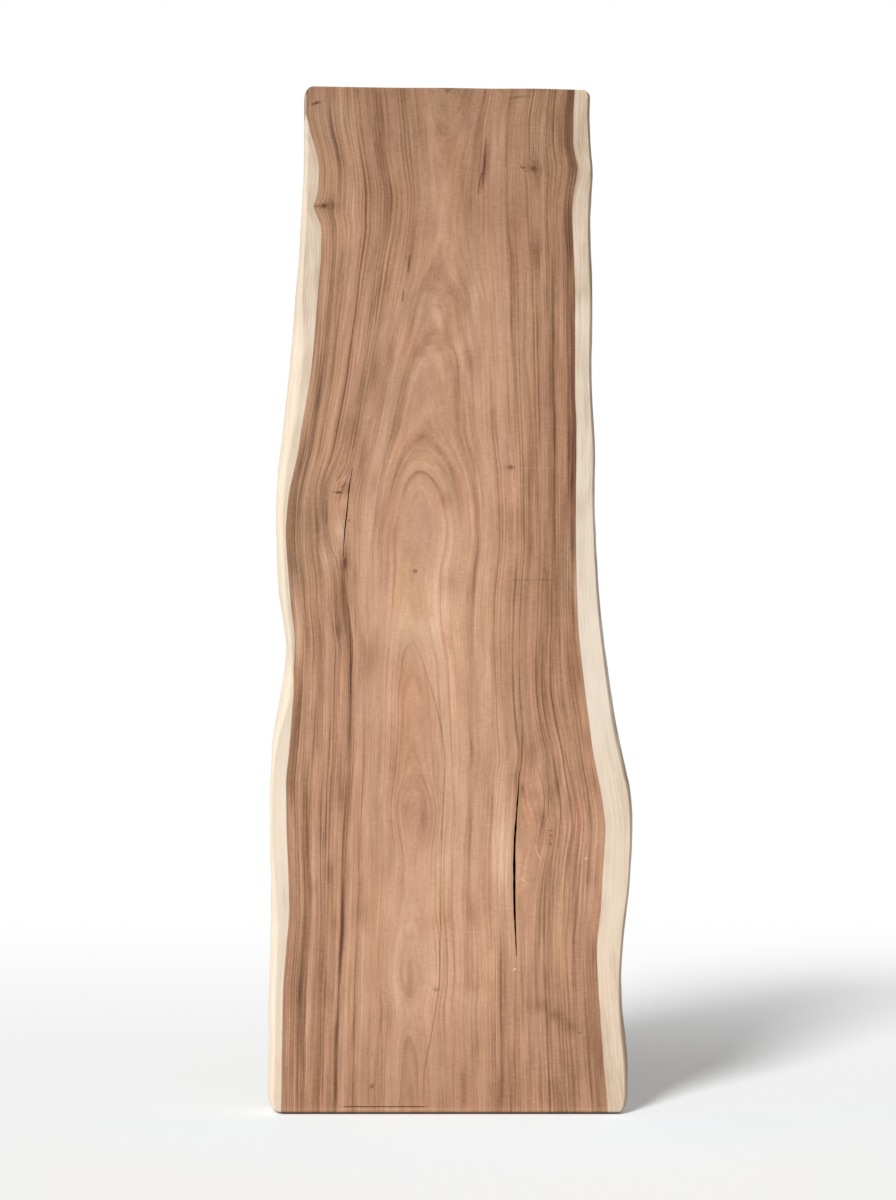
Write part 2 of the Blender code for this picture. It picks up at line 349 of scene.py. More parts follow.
def cap(ring, first, upward):
    """Points and triangles that close one end, on a grid fine enough to carry the end grain."""
    outline = [Vector(p[:2]) for p in ring]
    low, high = ring.min(0), ring.max(0)
    inner = []
    for x in np.arange(low[0] + CAP_STEP, high[0], CAP_STEP):
        for y in np.linspace(low[1], high[1], 9)[1:-1]:
            inner.append(Vector((x + 0.3 * CAP_STEP * math.sin(y * 900), y)))
    count = len(outline)
    loop = [(k, (k + 1) % count) for k in range(count)]
    flat, _, faces, source, _, _ = geometry.delaunay_2d_cdt(outline + inner, loop, [], 1, 1e-7)
    top = np.interp([p.x for p in flat], np.sort(ring[:, 0]), ring[np.argsort(ring[:, 0]), 2])
    numbers, extra = [], []
    for place, origins in enumerate(source):
        edge = [s for s in origins if s < count]
        if edge:
            numbers.append(first + edge[0])
        else:
            numbers.append(None)
            extra.append((flat[place].x, flat[place].y, top[place]))
    return numbers, extra, [f if upward else f[::-1] for f in faces]


def slab_mesh():
    """The slab's fine surface as one closed mesh, with how deep each point lies in a groove."""
    heights = row_heights()
    rings, grooves = slab_points(heights, measure_solid(heights))
    rows, count = rings.shape[:2]
    index = np.arange(rows * count).reshape(rows, count)
    after = np.roll(index, -1, axis=1)
    quads = np.stack([index[1:], after[1:], after[:-1], index[:-1]], 2).reshape(-1, 4)
    points = [tuple(p) for p in rings.reshape(-1, 3)]
    faces = [tuple(q) for q in quads.tolist()]
    for row, upward in ((0, False), (rows - 1, True)):
        numbers, extra, triangles = cap(rings[row], row * count, upward)
        fresh = iter(range(len(points), len(points) + len(extra)))
        numbers = [n if n is not None else next(fresh) for n in numbers]
        points += extra
        faces += [tuple(numbers[k] for k in triangle) for triangle in triangles]
    mesh = bpy.data.meshes.new("slab_surface")
    mesh.from_pydata(points, [], faces)
    mesh.shade_smooth()
    mesh.set_sharp_from_angle(angle=SHARP_ANGLE)
    depth = np.zeros(len(points))
    depth[: rows * count] = grooves.ravel()
    return mesh, depth


# Bulges of the rings round knots: (x, height, half width, half height, push towards the edge)
KNOT_BULGES = [
    (-0.275, 1.455, 0.06, 0.075, 0.021), (-0.255, 1.4, 0.03, 0.05, 0.01),
    (-0.29, 1.24, 0.05, 0.06, -0.007), (0.205, 0.665, 0.036, 0.085, 0.016),
    (0.18, 0.56, 0.022, 0.11, 0.01), (0.273, 0.7, 0.06, 0.09, 0.006), (0.228, 0.987, 0.055, 0.11, -0.01),
    (0.195, 2.212, 0.03, 0.03, -0.006), (-0.306, 2.122, 0.02, 0.016, 0.006),
    (0.143, 1.512, 0.012, 0.016, 0.003), (-0.081, 1.269, 0.01, 0.014, 0.003),
]


def wood_place(points):
    """Each point's place in the log: ring radius, place across the grain, and height."""
    x, y, z = points.T
    lines = [along(line, z) for line in GRAIN_LINES]
    pith = along(PITH_DEPTH, z)
    streak, sap = np.sqrt(STREAK_RADIUS**2 - pith**2), np.sqrt(SAP_RADIUS**2 - pith**2)
    knots = np.stack([lines[0] - OUTSIDE, *lines, lines[4] + OUTSIDE], 1)
    values = np.stack([-sap - OUTSIDE, -sap, -streak, 0 * z, streak, sap, sap + OUTSIDE], 1)
    across = hermite(x[:, None], knots, values)[:, 0]
    radius = np.hypot(across, pith - PITH_LEAN * (y - FRONT))
    near_face = beside(points)
    for knot_x, knot_z, half_width, half_height, push in KNOT_BULGES:
        dome = bell(x, knot_x, half_width) * bell(z, knot_z, half_height)
        radius = radius - push * dome * near_face
    return radius, across, z


# How much paler than the rest the wood is on the left, in the middle and on the right: (height, tone)
LEFT_ZONE = [
    (0.0, -0.06), (0.5, -0.03), (1.1, 0.02), (1.5, 0.0), (1.9, 0.04), (2.2, 0.0), (2.34, -0.08),
    (2.4, -0.16),
]
HEART_ZONE = [
    (0.0, 0.02), (0.15, 0.06), (0.3, 0.2), (0.75, 0.17), (1.1, 0.21), (1.3, 0.18), (1.5, 0.12), (1.8, 0.1),
    (2.0, 0.03), (2.2, -0.06), (2.4, -0.12),
]
RIGHT_ZONE = [
    (0.0, -0.1), (0.2, -0.07), (0.45, 0.07), (0.65, 0.08), (0.95, -0.01), (1.3, -0.09), (1.7, -0.07),
    (2.1, -0.05), (2.4, -0.1),
]

# How much paler, and how much rosier, the sapwood is along each edge: (height, tone, warmth)
LEFT_SAP = [
    (0.0, 0.06, 1.0), (0.14, 0.09, 0.6), (0.3, 0.14, 0.0), (0.45, 0.13, 0.0), (0.7, 0.28, 0.0),
    (1.1, 0.05, 0.1), (1.45, 0.06, 0.3), (1.6, 0.05, 0.3), (1.76, 0.04, 0.2), (1.95, -0.03, 0.1),
    (2.4, -0.03, 0.0),
]
# Near 2.2 m high the right sapwood is made darker as painted shade
RIGHT_SAP = [
    (0.0, 0.0, 0.9), (0.2, 0.0, 0.8), (0.45, 0.08, 0.5), (0.8, 0.08, 0.1), (0.9, 0.15, -0.6),
    (1.27, 0.1, -0.9), (1.7, 0.02, -0.3), (1.87, 0.01, -0.1), (1.92, -0.08, 0.0), (1.97, 0.0, 0.0),
    (2.05, 0.0, 0.0), (2.2, -0.1, 0.1), (2.4, -0.03, 0.1),
]

# Dark and pale bands that follow a ring for part of the length, on the left (-1), the right (1) or both
# sides (0): (ring radius, half width, low, high, tone, warmth). Warmth is left out where it is 0.
RING_BANDS = {
    -1: [
        (0.329, 0.015, 1.24, 1.6, -0.24, -0.6), (0.312, 0.008, 1.4, 1.74, -0.14, -0.1),
        (0.333, 0.006, 1.52, 1.8, 0.08), (0.327, 0.008, 0.72, 1.02, -0.2, -0.2),
        (0.328, 0.002, 1.5, 2.3, -0.12), (0.311, 0.003, 1.1, 2.15, -0.15, -0.1),
        (0.303, 0.0045, 0.0, 0.78, -0.22, -0.1), (0.294, 0.0035, 0.0, 0.74, -0.2, 0.1),
        (0.2905, 0.0016, 0.0, 0.36, -0.22, 0.1), (0.2825, 0.005, 0.1, 0.95, 0.15, 0.1),
        (0.292, 0.0018, 1.35, 2.05, -0.13), (0.272, 0.0045, 1.22, 1.52, -0.15, -0.2),
        (0.2665, 0.0025, 1.48, 1.8, 0.16, 0.2), (0.256, 0.002, 1.4, 2.3, -0.12, 0.1),
        (0.248, 0.0022, 0.0, 1.0, -0.1), (0.24, 0.004, 1.08, 1.24, -0.14, -0.2),
        (0.235, 0.002, 0.05, 0.95, 0.08, 0.2), (0.2205, 0.004, 1.06, 1.24, -0.1, -0.1),
        (0.2185, 0.005, 0.0, 0.22, -0.16), (0.215, 0.004, 0.0, 1.12, -0.3),
        (0.211, 0.0014, 0.86, 1.24, -0.26, 0.1), (0.216, 0.004, 0.35, 0.5, -0.2, 0.3),
        (0.2145, 0.0018, 1.5, 2.4, -0.24), (0.2215, 0.008, 1.85, 2.3, -0.08),
        (0.22, 0.0014, 1.7, 2.5, -0.16), (0.2255, 0.0014, 1.8, 2.5, -0.18),
        (0.231, 0.0014, 1.9, 2.34, -0.12), (0.207, 0.0055, 0.92, 1.1, -0.16, -0.4),
        (0.2125, 0.008, 0.37, 0.52, -0.14, -0.1), (0.206, 0.002, 1.6, 2.4, -0.12),
        (0.197, 0.0018, 1.85, 2.4, -0.08), (0.192, 0.014, 0.0, 0.4, 0.14, 0.1),
        (0.192, 0.011, 0.4, 0.95, 0.06, 0.1), (0.1725, 0.002, 0.0, 0.92, -0.22, 0.1),
        (0.166, 0.007, 0.0, 0.38, -0.12), (0.102, 0.002, 0.0, 0.3, -0.16, 0.2),
    ],
    1: [
        (0.33, 0.008, 2.24, 2.5, -0.08, -0.1), (0.333, 0.008, 1.45, 2.5, -0.26),
        (0.3375, 0.0012, 1.4, 2.5, -0.26), (0.331, 0.0014, 1.45, 2.5, -0.22),
        (0.325, 0.0014, 1.5, 2.5, -0.18), (0.331, 0.0035, 0.98, 1.5, -0.16, -0.1),
        (0.322, 0.0024, 1.5, 2.35, -0.12), (0.315, 0.0018, 0.0, 0.78, -0.18, 0.1),
        (0.302, 0.002, 0.3, 1.3, -0.12), (0.295, 0.0018, 0.5, 1.25, -0.14),
        (0.29, 0.003, 1.28, 2.0, -0.18, -0.1), (0.285, 0.0026, 0.55, 1.32, -0.2, -0.1),
        (0.277, 0.0024, 0.55, 1.25, -0.18), (0.269, 0.0022, 0.6, 1.2, -0.15),
        (0.26, 0.0022, 0.05, 1.1, -0.1, 0.1), (0.245, 0.002, 0.0, 0.5, -0.1, 0.1),
        (0.234, 0.0022, 1.3, 2.2, -0.1), (0.2105, 0.002, 0.8, 2.4, -0.18),
        (0.187, 0.0024, 0.0, 0.4, -0.12, 0.2), (0.178, 0.0022, 0.8, 1.7, -0.08),
        (0.147, 0.002, 1.02, 1.5, -0.18, 0.1), (0.1385, 0.002, 0.4, 1.0, -0.16, 0.2),
    ],
    0: [
        (0.1115, 0.0018, 1.2, 1.52, -0.06), (0.12, 0.003, 1.2, 1.6, -0.07, -0.1),
        (0.127, 0.0022, 1.35, 1.66, -0.12), (0.145, 0.0022, 1.2, 1.85, -0.12),
        (0.15, 0.0018, 1.2, 1.92, -0.12, 0.1), (0.157, 0.0018, 1.4, 1.98, -0.14, 0.1),
        (0.14, 0.0016, 1.3, 1.8, 0.1, 0.1), (0.1165, 0.0016, 1.2, 1.56, 0.05),
    ],
}
BAND_FADE = 0.06
BAND_UNEVEN = 0.4
BAND_SIDE = (0.0, 0.02)

# Soft patches on the show face, from the top down: (x, height, half width, half height, tone, warmth,
# lean). Warmth and lean are left out where they are 0.
PATCHES = [
    (0.19, 2.398, 0.055, 0.009, -0.14), (-0.035, 2.36, 0.018, 0.05, 0.13, -0.5),
    (-0.27, 2.33, 0.05, 0.05, 0.02, -0.5), (-0.093, 2.31, 0.012, 0.08, 0.1, -0.2),
    (0.205, 2.295, 0.04, 0.07, 0.12, -0.6), (0.105, 2.29, 0.022, 0.1, 0.13, -0.5),
    (-0.268, 2.27, 0.022, 0.075, -0.15, -0.2, -0.4), (0.27, 2.23, 0.012, 0.025, 0.12),
    (0.193, 2.215, 0.022, 0.016, -0.14, 0.1), (0.08, 2.21, 0.008, 0.06, -0.14, -0.2, 0.12),
    (0.081, 2.21, 0.013, 0.045, -0.1, 0.2, 0.1), (0.2013, 2.185, 0.01, 0.035, -0.15),
    (-0.314, 2.135, 0.025, 0.1, 0.0, -0.6), (-0.285, 2.123, 0.024, 0.012, -0.14),
    (0.078, 2.1, 0.009, 0.05, -0.12, 0.3), (-0.088, 2.09, 0.022, 0.09, 0.0, 0.5),
    (-0.038, 2.08, 0.011, 0.04, -0.14, 0.1, 0.1), (-0.198, 2.065, 0.014, 0.09, 0.0, 0.5),
    (0.164, 2.04, 0.015, 0.09, 0.0, 0.5), (0.205, 2.02, 0.018, 0.055, -0.11),
    (0.2806, 2.018, 0.009, 0.04, -0.26), (0.201, 2.007, 0.013, 0.05, -0.16, 0.1),
    (-0.29, 2.005, 0.01, 0.035, -0.14, 0.1), (-0.09, 2.005, 0.011, 0.06, -0.2, 0.1, 0.15),
    (-0.206, 1.965, 0.01, 0.06, 0.11, 0.0, 0.1), (-0.144, 1.95, 0.012, 0.055, -0.12, 0.1, 0.1),
    (0.063, 1.935, 0.016, 0.05, 0.1, -0.2, 0.05), (0.033, 1.93, 0.02, 0.05, -0.12, 0.1),
    (-0.032, 1.878, 0.019, 0.032, 0.28, -0.2), (0.042, 1.874, 0.01, 0.03, -0.13),
    (-0.263, 1.855, 0.014, 0.09, 0.11, 0.2, 0.15), (-0.018, 1.855, 0.012, 0.032, 0.14),
    (-0.31, 1.837, 0.008, 0.04, -0.15), (-0.081, 1.797, 0.04, 0.04, 0.0, 0.4),
    (0.0, 1.78, 0.045, 0.03, 0.06), (0.073, 1.78, 0.011, 0.024, -0.14, 0.1),
    (-0.065, 1.778, 0.022, 0.013, -0.13), (-0.136, 1.771, 0.009, 0.035, -0.13, 0.0, 0.1),
    (0.052, 1.752, 0.013, 0.04, -0.22, 0.1, -0.1), (-0.174, 1.727, 0.014, 0.065, -0.2, 0.1, 0.1),
    (-0.206, 1.71, 0.011, 0.06, -0.15, 0.0, 0.1), (-0.307, 1.7, 0.01, 0.08, -0.1, -0.3, 0.1),
    (-0.111, 1.64, 0.011, 0.07, -0.15, 0.2, 0.15), (0.214, 1.64, 0.01, 0.06, -0.12),
    (-0.235, 1.61, 0.014, 0.08, -0.12, 0.0, 0.15), (-0.205, 1.535, 0.012, 0.045, -0.15, 0.0, 0.1),
    (0.143, 1.512, 0.018, 0.012, -0.1, 0.1), (-0.247, 1.48, 0.01, 0.014, 0.1, 0.4, 0.2),
    (0.157, 1.48, 0.016, 0.06, 0.15), (0.27, 1.48, 0.012, 0.05, 0.12),
    (-0.178, 1.475, 0.012, 0.035, -0.14, 0.1, 0.1), (-0.244, 1.463, 0.018, 0.016, -0.13),
    (-0.308, 1.455, 0.011, 0.045, 0.11), (0.135, 1.45, 0.034, 0.045, 0.1, 0.1),
    (-0.2598, 1.44, 0.008, 0.008, -0.1, 0.7), (-0.011, 1.435, 0.016, 0.02, -0.18),
    (-0.2479, 1.43, 0.008, 0.014, 0.18), (-0.195, 1.42, 0.022, 0.09, 0.12, 0.1, 0.1),
    (-0.298, 1.4, 0.016, 0.08, -0.14, -0.4), (0.206, 1.4, 0.008, 0.08, -0.15, 0.2),
    (-0.163, 1.388, 0.011, 0.06, -0.2, 0.2, 0.12), (-0.2561, 1.372, 0.012, 0.03, 0.2, -0.4),
    (-0.126, 1.36, 0.012, 0.035, -0.14, 0.1, 0.1), (0.29, 1.342, 0.008, 0.06, -0.16),
    (-0.345, 1.32, 0.032, 0.12, 0.0, -0.7), (-0.276, 1.3, 0.018, 0.03, 0.1, -0.6, 0.3),
    (-0.245, 1.3, 0.015, 0.045, -0.13, -0.2, 0.1), (0.169, 1.295, 0.012, 0.08, 0.17, 0.1),
    (-0.247, 1.285, 0.014, 0.026, -0.24, 0.0, 0.1), (0.274, 1.27, 0.016, 0.08, 0.0, -0.9),
    (-0.221, 1.262, 0.01, 0.035, -0.14, 0.0, 0.1), (0.004, 1.24, 0.022, 0.03, -0.14),
    (-0.25, 1.232, 0.01, 0.034, -0.3, -0.2), (0.218, 1.178, 0.008, 0.05, 0.13),
    (-0.044, 1.172, 0.013, 0.02, -0.13), (-0.253, 1.165, 0.017, 0.052, -0.26, -0.2),
    (-0.295, 1.155, 0.013, 0.05, -0.13, -0.1, 0.1), (0.274, 1.155, 0.01, 0.05, 0.13),
    (-0.108, 1.15, 0.05, 0.06, 0.13), (-0.2598, 1.13, 0.01, 0.022, -0.2, -0.1),
    (-0.035, 1.13, 0.04, 0.13, 0.12, 0.0, 0.05), (-0.354, 1.115, 0.009, 0.07, 0.26, -0.4),
    (-0.002, 1.105, 0.013, 0.04, -0.15), (-0.246, 1.085, 0.01, 0.04, -0.12),
    (-0.174, 1.085, 0.014, 0.055, -0.2, 0.2), (-0.093, 1.085, 0.03, 0.06, -0.03, -0.6),
    (0.325, 1.05, 0.015, 0.12, 0.0, -0.5), (-0.184, 1.045, 0.018, 0.04, -0.13),
    (-0.085, 1.01, 0.042, 0.09, -0.12, 0.3), (0.063, 1.0, 0.01, 0.08, -0.13),
    (-0.319, 0.995, 0.01, 0.06, 0.13, 0.1), (0.029, 0.985, 0.014, 0.085, -0.14, 0.1),
    (0.164, 0.93, 0.02, 0.06, 0.0, -0.4), (0.318, 0.875, 0.01, 0.035, -0.16, 0.1, -0.2),
    (-0.11, 0.86, 0.05, 0.06, -0.08, 0.2), (0.194, 0.835, 0.014, 0.035, -0.16),
    (-0.257, 0.805, 0.009, 0.09, -0.24, 0.2), (0.152, 0.79, 0.013, 0.035, -0.15),
    (-0.074, 0.775, 0.018, 0.02, -0.13, 0.2), (0.253, 0.772, 0.01, 0.03, -0.18),
    (0.338, 0.772, 0.01, 0.025, -0.15, 0.0, -0.2), (0.238, 0.76, 0.012, 0.06, -0.12, -0.5, -0.1),
    (-0.163, 0.758, 0.014, 0.06, 0.1), (0.195, 0.747, 0.026, 0.016, -0.14, 0.2),
    (-0.256, 0.745, 0.01, 0.05, -0.17), (0.278, 0.723, 0.012, 0.04, -0.2),
    (-0.092, 0.715, 0.034, 0.08, -0.1, 0.3), (0.098, 0.715, 0.008, 0.055, -0.15),
    (0.187, 0.7, 0.016, 0.05, 0.1, 0.2), (0.213, 0.698, 0.016, 0.024, -0.18),
    (-0.062, 0.69, 0.014, 0.075, -0.16, 0.0, 0.05), (-0.05, 0.69, 0.016, 0.06, -0.11, 0.1),
    (0.306, 0.688, 0.012, 0.07, 0.05, 0.5), (0.234, 0.65, 0.016, 0.026, -0.08, 0.3),
    (-0.233, 0.63, 0.008, 0.05, 0.13, 0.1), (0.124, 0.61, 0.018, 0.14, 0.3, -0.2, 0.02),
    (-0.016, 0.583, 0.016, 0.07, 0.14, 0.1), (-0.023, 0.57, 0.022, 0.06, 0.0, -0.4),
    (-0.278, 0.567, 0.01, 0.03, -0.15), (0.178, 0.56, 0.022, 0.09, 0.09, 0.1),
    (0.329, 0.555, 0.014, 0.028, -0.15), (-0.207, 0.537, 0.009, 0.024, -0.16, 0.1),
    (-0.319, 0.53, 0.01, 0.02, -0.15), (-0.151, 0.49, 0.03, 0.045, 0.09, 0.2),
    (0.159, 0.49, 0.012, 0.028, -0.16, 0.1), (-0.205, 0.48, 0.02, 0.035, -0.16),
    (0.052, 0.474, 0.011, 0.04, -0.2, 0.1), (-0.03, 0.45, 0.03, 0.018, -0.12, 0.2, 0.25),
    (-0.268, 0.443, 0.008, 0.03, -0.2, 0.2), (0.28, 0.385, 0.011, 0.1, 0.14, 0.2),
    (0.338, 0.382, 0.01, 0.035, -0.14), (0.218, 0.373, 0.011, 0.055, 0.18, 0.1),
    (0.1, 0.365, 0.01, 0.03, 0.13), (-0.105, 0.36, 0.02, 0.05, 0.0, -0.4),
    (0.048, 0.36, 0.012, 0.075, -0.15), (-0.093, 0.325, 0.009, 0.05, -0.26, 0.4),
    (0.06, 0.3, 0.06, 0.02, -0.06, 0.1, -0.1), (-0.284, 0.278, 0.012, 0.028, -0.16),
    (0.2106, 0.255, 0.022, 0.014, -0.2), (0.2456, 0.23, 0.022, 0.014, -0.2),
    (0.11, 0.222, 0.009, 0.13, 0.17, 0.1), (-0.142, 0.22, 0.01, 0.06, -0.12),
    (0.2806, 0.205, 0.022, 0.014, -0.16), (0.058, 0.2, 0.015, 0.12, 0.0, -0.3),
    (0.352, 0.128, 0.009, 0.05, -0.14), (0.031, 0.058, 0.009, 0.055, -0.22),
]

# Knots, dots and chips on the show face: (x, height, half width, half height, lean, tone)
SPOTS = [
    (-0.2946, 2.122, 0.011, 0.0064, 0.1, -0.85), (-0.3126, 2.1215, 0.007, 0.0032, 0.0, -0.6),
    (-0.312, 2.362, 0.013, 0.0046, 0.25, -0.85), (0.1947, 2.2084, 0.011, 0.008, -0.1, -0.7),
    (0.16, 2.376, 0.03, 0.004, 0.12, -0.4), (0.142, 1.512, 0.011, 0.005, 0.0, -0.6),
    (-0.2589, 1.4528, 0.01, 0.0038, 0.05, -0.9), (-0.274, 1.4545, 0.006, 0.0018, 0.0, -0.4),
    (-0.236, 1.388, 0.0032, 0.0034, 0.0, -0.65), (-0.2447, 1.288, 0.004, 0.019, 0.0, -0.8),
    (-0.081, 1.269, 0.006, 0.0056, 0.0, -0.62), (-0.032, 0.292, 0.0075, 0.0045, -0.2, -0.5),
    (-0.181, 0.066, 0.007, 0.006, 0.2, -0.6), (0.17, 0.76, 0.0036, 0.016, 0.0, -0.6),
    (0.1722, 0.735, 0.0024, 0.003, 0.0, 0.3), (0.2351, 0.6324, 0.0046, 0.005, 0.0, -0.4),
    (0.304, 0.191, 0.006, 0.004, 0.0, -0.4), (0.318, 0.598, 0.0034, 0.0034, 0.0, 0.7),
    (0.152, 0.34, 0.0052, 0.0032, 0.6, 0.8),
]

# Drawn lines on the show face: half width, tone, and the (x, height) points they pass through
STROKES = [
    (0.002, -0.3, [
        (-0.087, 1.109), (-0.073, 1.08), (-0.065, 1.062), (-0.048, 1.01), (-0.034, 0.964), (-0.02, 0.905),
        (-0.011, 0.835), (-0.013, 0.77), (-0.02, 0.6), (-0.022, 0.42), (-0.025, 0.3), (-0.041, 0.198),
        (-0.06, 0.1), (-0.062, 0.015),
    ]),
    (0.0018, -0.2, [(-0.162, 0.303), (-0.158, 0.16), (-0.16, 0.015)]),
    (0.0016, -0.7, [(0.1656, 2.216), (0.1672, 2.2115), (0.1715, 2.21), (0.175, 2.2125)]),
    (0.0016, -0.26, [(0.1954, 2.275), (0.1943, 2.236), (0.1954, 2.218)]),
    (0.0014, -0.2, [(0.1858, 2.27), (0.1868, 2.24), (0.1885, 2.222)]),
    (0.0016, -0.24, [(0.2106, 2.218), (0.2141, 2.203), (0.2105, 2.188)]),
    (0.0016, -0.2, [(0.1905, 2.198), (0.1896, 2.18)]),
    (0.0018, -0.26, [(-0.2771, 2.137), (-0.2713, 2.127), (-0.2724, 2.112)]),
    (0.004, -0.28, [(0.085, 2.28), (0.0823, 2.247), (0.0808, 2.219), (0.0776, 2.19), (0.0741, 2.155)]),
    (0.0016, -0.34, [(0.077, 2.206), (0.071, 2.186), (0.066, 2.148)]),
    (0.0022, -0.36, [(-0.093, 2.01), (-0.098, 1.966)]),
    (0.002, -0.34, [(-0.107, 1.93), (-0.111, 1.892)]),
    (0.0018, -0.13, [(0.099, 1.251), (0.17, 1.25), (0.25, 1.249)]),
    (0.0016, 0.06, [(0.155, 1.512), (0.2, 1.51), (0.25, 1.509)]),
    (0.002, -0.3, [
        (0.206, 0.81), (0.2176, 0.77), (0.2211, 0.742), (0.2199, 0.7), (0.2118, 0.665), (0.2075, 0.63),
    ]),
    (0.0016, -0.24, [(0.231, 0.765), (0.2303, 0.737), (0.23, 0.7), (0.221, 0.676)]),
    (0.0018, -0.26, [
        (0.23, 0.875), (0.2433, 0.821), (0.2526, 0.775), (0.2573, 0.742), (0.2596, 0.709), (0.2573, 0.677),
        (0.2526, 0.618),
    ]),
    (0.0018, -0.26, [
        (0.264, 0.86), (0.2736, 0.826), (0.2841, 0.775), (0.2923, 0.737), (0.2934, 0.691), (0.2899, 0.639),
    ]),
    (0.0016, -0.22, [(0.3063, 0.831), (0.3226, 0.758), (0.3273, 0.677), (0.3238, 0.607), (0.32, 0.54)]),
    (0.0022, -0.34, [(0.169, 0.905), (0.1692, 0.865), (0.1682, 0.828), (0.164, 0.793)]),
    (0.0014, -0.3, [(0.229, 0.664), (0.2395, 0.664)]),
    (0.0014, -0.26, [(0.232, 0.651), (0.242, 0.651)]),
    (0.0016, 0.3, [(0.199, 0.63), (0.204, 0.611), (0.2153, 0.592)]),
    (0.0015, 0.22, [(0.1615, 0.558), (0.172, 0.548), (0.1825, 0.539)]),
    (0.0014, 0.16, [(0.164, 0.585), (0.176, 0.574), (0.185, 0.571)]),
    (0.0014, 0.14, [(0.175, 0.53), (0.185, 0.52)]),
    (0.002, -0.1, [(-0.112, 0.3), (-0.104, 0.27), (-0.095, 0.26), (-0.086, 0.268), (-0.078, 0.3)]),
    (0.0018, -0.08, [(-0.2, 2.287), (-0.13, 2.292), (-0.06, 2.296)]),
    (0.002, -0.22, [(-0.2213, 1.188), (-0.2197, 1.15), (-0.22, 1.11)]),
    (0.0014, 0.16, [(-0.2699, 1.222), (-0.269, 1.14), (-0.2687, 1.064)]),
    (0.0016, -0.28, [(-0.2864, 1.438), (-0.2869, 1.4), (-0.2881, 1.372)]),
    (0.0016, -0.26, [(-0.279, 1.326), (-0.2664, 1.3), (-0.2631, 1.276)]),
    (0.002, 0.05, [(-0.02, 0.44), (0.03, 0.428), (0.08, 0.424), (0.14, 0.416)]),
    (0.0018, -0.12, [(-0.052, 0.8), (-0.03, 0.79), (-0.02, 0.74), (-0.021, 0.66), (-0.03, 0.6)]),
    (0.0018, -0.42, [
        (-0.2381, 1.196), (-0.2342, 1.163), (-0.2321, 1.107), (-0.2314, 1.06), (-0.2316, 0.985),
    ]),
    (0.0016, 0.18, [(-0.3004, 1.344), (-0.2934, 1.314), (-0.2864, 1.286)]),
    (0.0016, 0.15, [(-0.308, 1.335), (-0.302, 1.304), (-0.2945, 1.272)]),
    (0.0016, -0.3, [(-0.254, 1.464), (-0.246, 1.47), (-0.241, 1.478)]),
    (0.0016, 0.2, [(-0.256, 1.476), (-0.248, 1.484), (-0.242, 1.494)]),
    (0.0016, -0.2, [(-0.264, 1.48), (-0.256, 1.492), (-0.25, 1.504)]),
]

# A mark's rim in its half sizes, how the ends of a stroke taper, the gap over which a mark is let go,
# and the distance given to a point without a mark
MARK_RIM = (0.2, 1.3)
STROKE_TAPER = 0.4
MARK_REACH = (0.004, 0.010)
NO_MARK = 4

# Places where the ring lines are faint: (x, height, half width, half height, share lost). The last one
# has stronger lines instead.
CALM = [
    (0.184, 0.62, 0.028, 0.13, 0.65), (-0.252, 1.4, 0.016, 0.06, 0.5), (-0.095, 1.15, 0.06, 0.08, 0.3),
    (-0.072, 1.37, 0.09, 0.11, 0.45), (0.31, 0.2, 0.045, 0.16, 0.4), (-0.298, 0.735, 0.06, 0.25, -0.18),
]

# Where the heart gives way to the left and to the right, and how much fainter its rings are
HEART_LEFT, HEART_RIGHT = (0.125, 0.215), (0.110, 0.225)
HEART_CALM = 0.38

# The natural edges: how much paler the left one is painted, as painted light, and how much darker the right
# one, as painted shade, than the sapwood of the show face; the depths between which they start, and the
# stretch of x over which the left one's looks give way to the right one's
LEFT_EDGE_LIGHT = 0.28
RIGHT_EDGE_SHADE = -0.16
SKIN_START = (0.0005, 0.006)
LEFT_TO_RIGHT = (-0.1, 0.1)

# Warmth along the slab, then the painted shade along the foot where it meets the floor and the painted light
# on the arris above it, as (height, half, tone)
WARMTH_ALONG = [(0.0, 0.12), (1.2, 0.08), (2.0, -0.10), (2.40, -0.15)]
PAINTED_SHADE_RISE = (0.004, 0.0085)
PAINTED_SHADE_STRENGTH = 0.9
# A paler band on the arris at the foot: painted light
PAINTED_FOOT_LIGHT = (0.0125, 0.004, 0.09)


def beside(points):
    """1 on the show face, falling to 0 within the wood's thickness."""
    return 1 - rise(points[:, 1] - FRONT, *SHOW_REACH)


def zones(across):
    """How much each place across the grain belongs to the left, the heart and the right."""
    left, right = rise(-across, *HEART_LEFT), rise(across, *HEART_RIGHT)
    return left, 1 - left - right, right


def zone_tone(across, z):
    """The broad change from the darker outer wood to the paler heart."""
    lines = [along(line, z) for line in (LEFT_ZONE, HEART_ZONE, RIGHT_ZONE)]
    return sum(share * line for share, line in zip(zones(across), lines))


def band(radius, across, z, side, centre, half, low, high, tone, warmth=0.0):
    """The tone and the warmth that one ring band adds at each point."""
    here = bell(radius, centre, half) * span(z, low, high, BAND_FADE)
    here = here * (1 + BAND_UNEVEN * ripple(int(centre * 1e4), z * 5))
    if side:
        here = here * rise(side * across, *BAND_SIDE)
    return np.array([tone * here, warmth * here])


def patch(x, z, patch_x, patch_z, half_width, half_height, tone, warmth=0.0, lean=0.0):
    """The tone and the warmth that one patch adds at each point."""
    off_x = (x - patch_x - lean * (z - patch_z)) / half_width
    off_z = (z - patch_z) / half_height
    here = np.exp(-(off_x**2 + off_z**2))
    return np.array([tone * here, warmth * here])


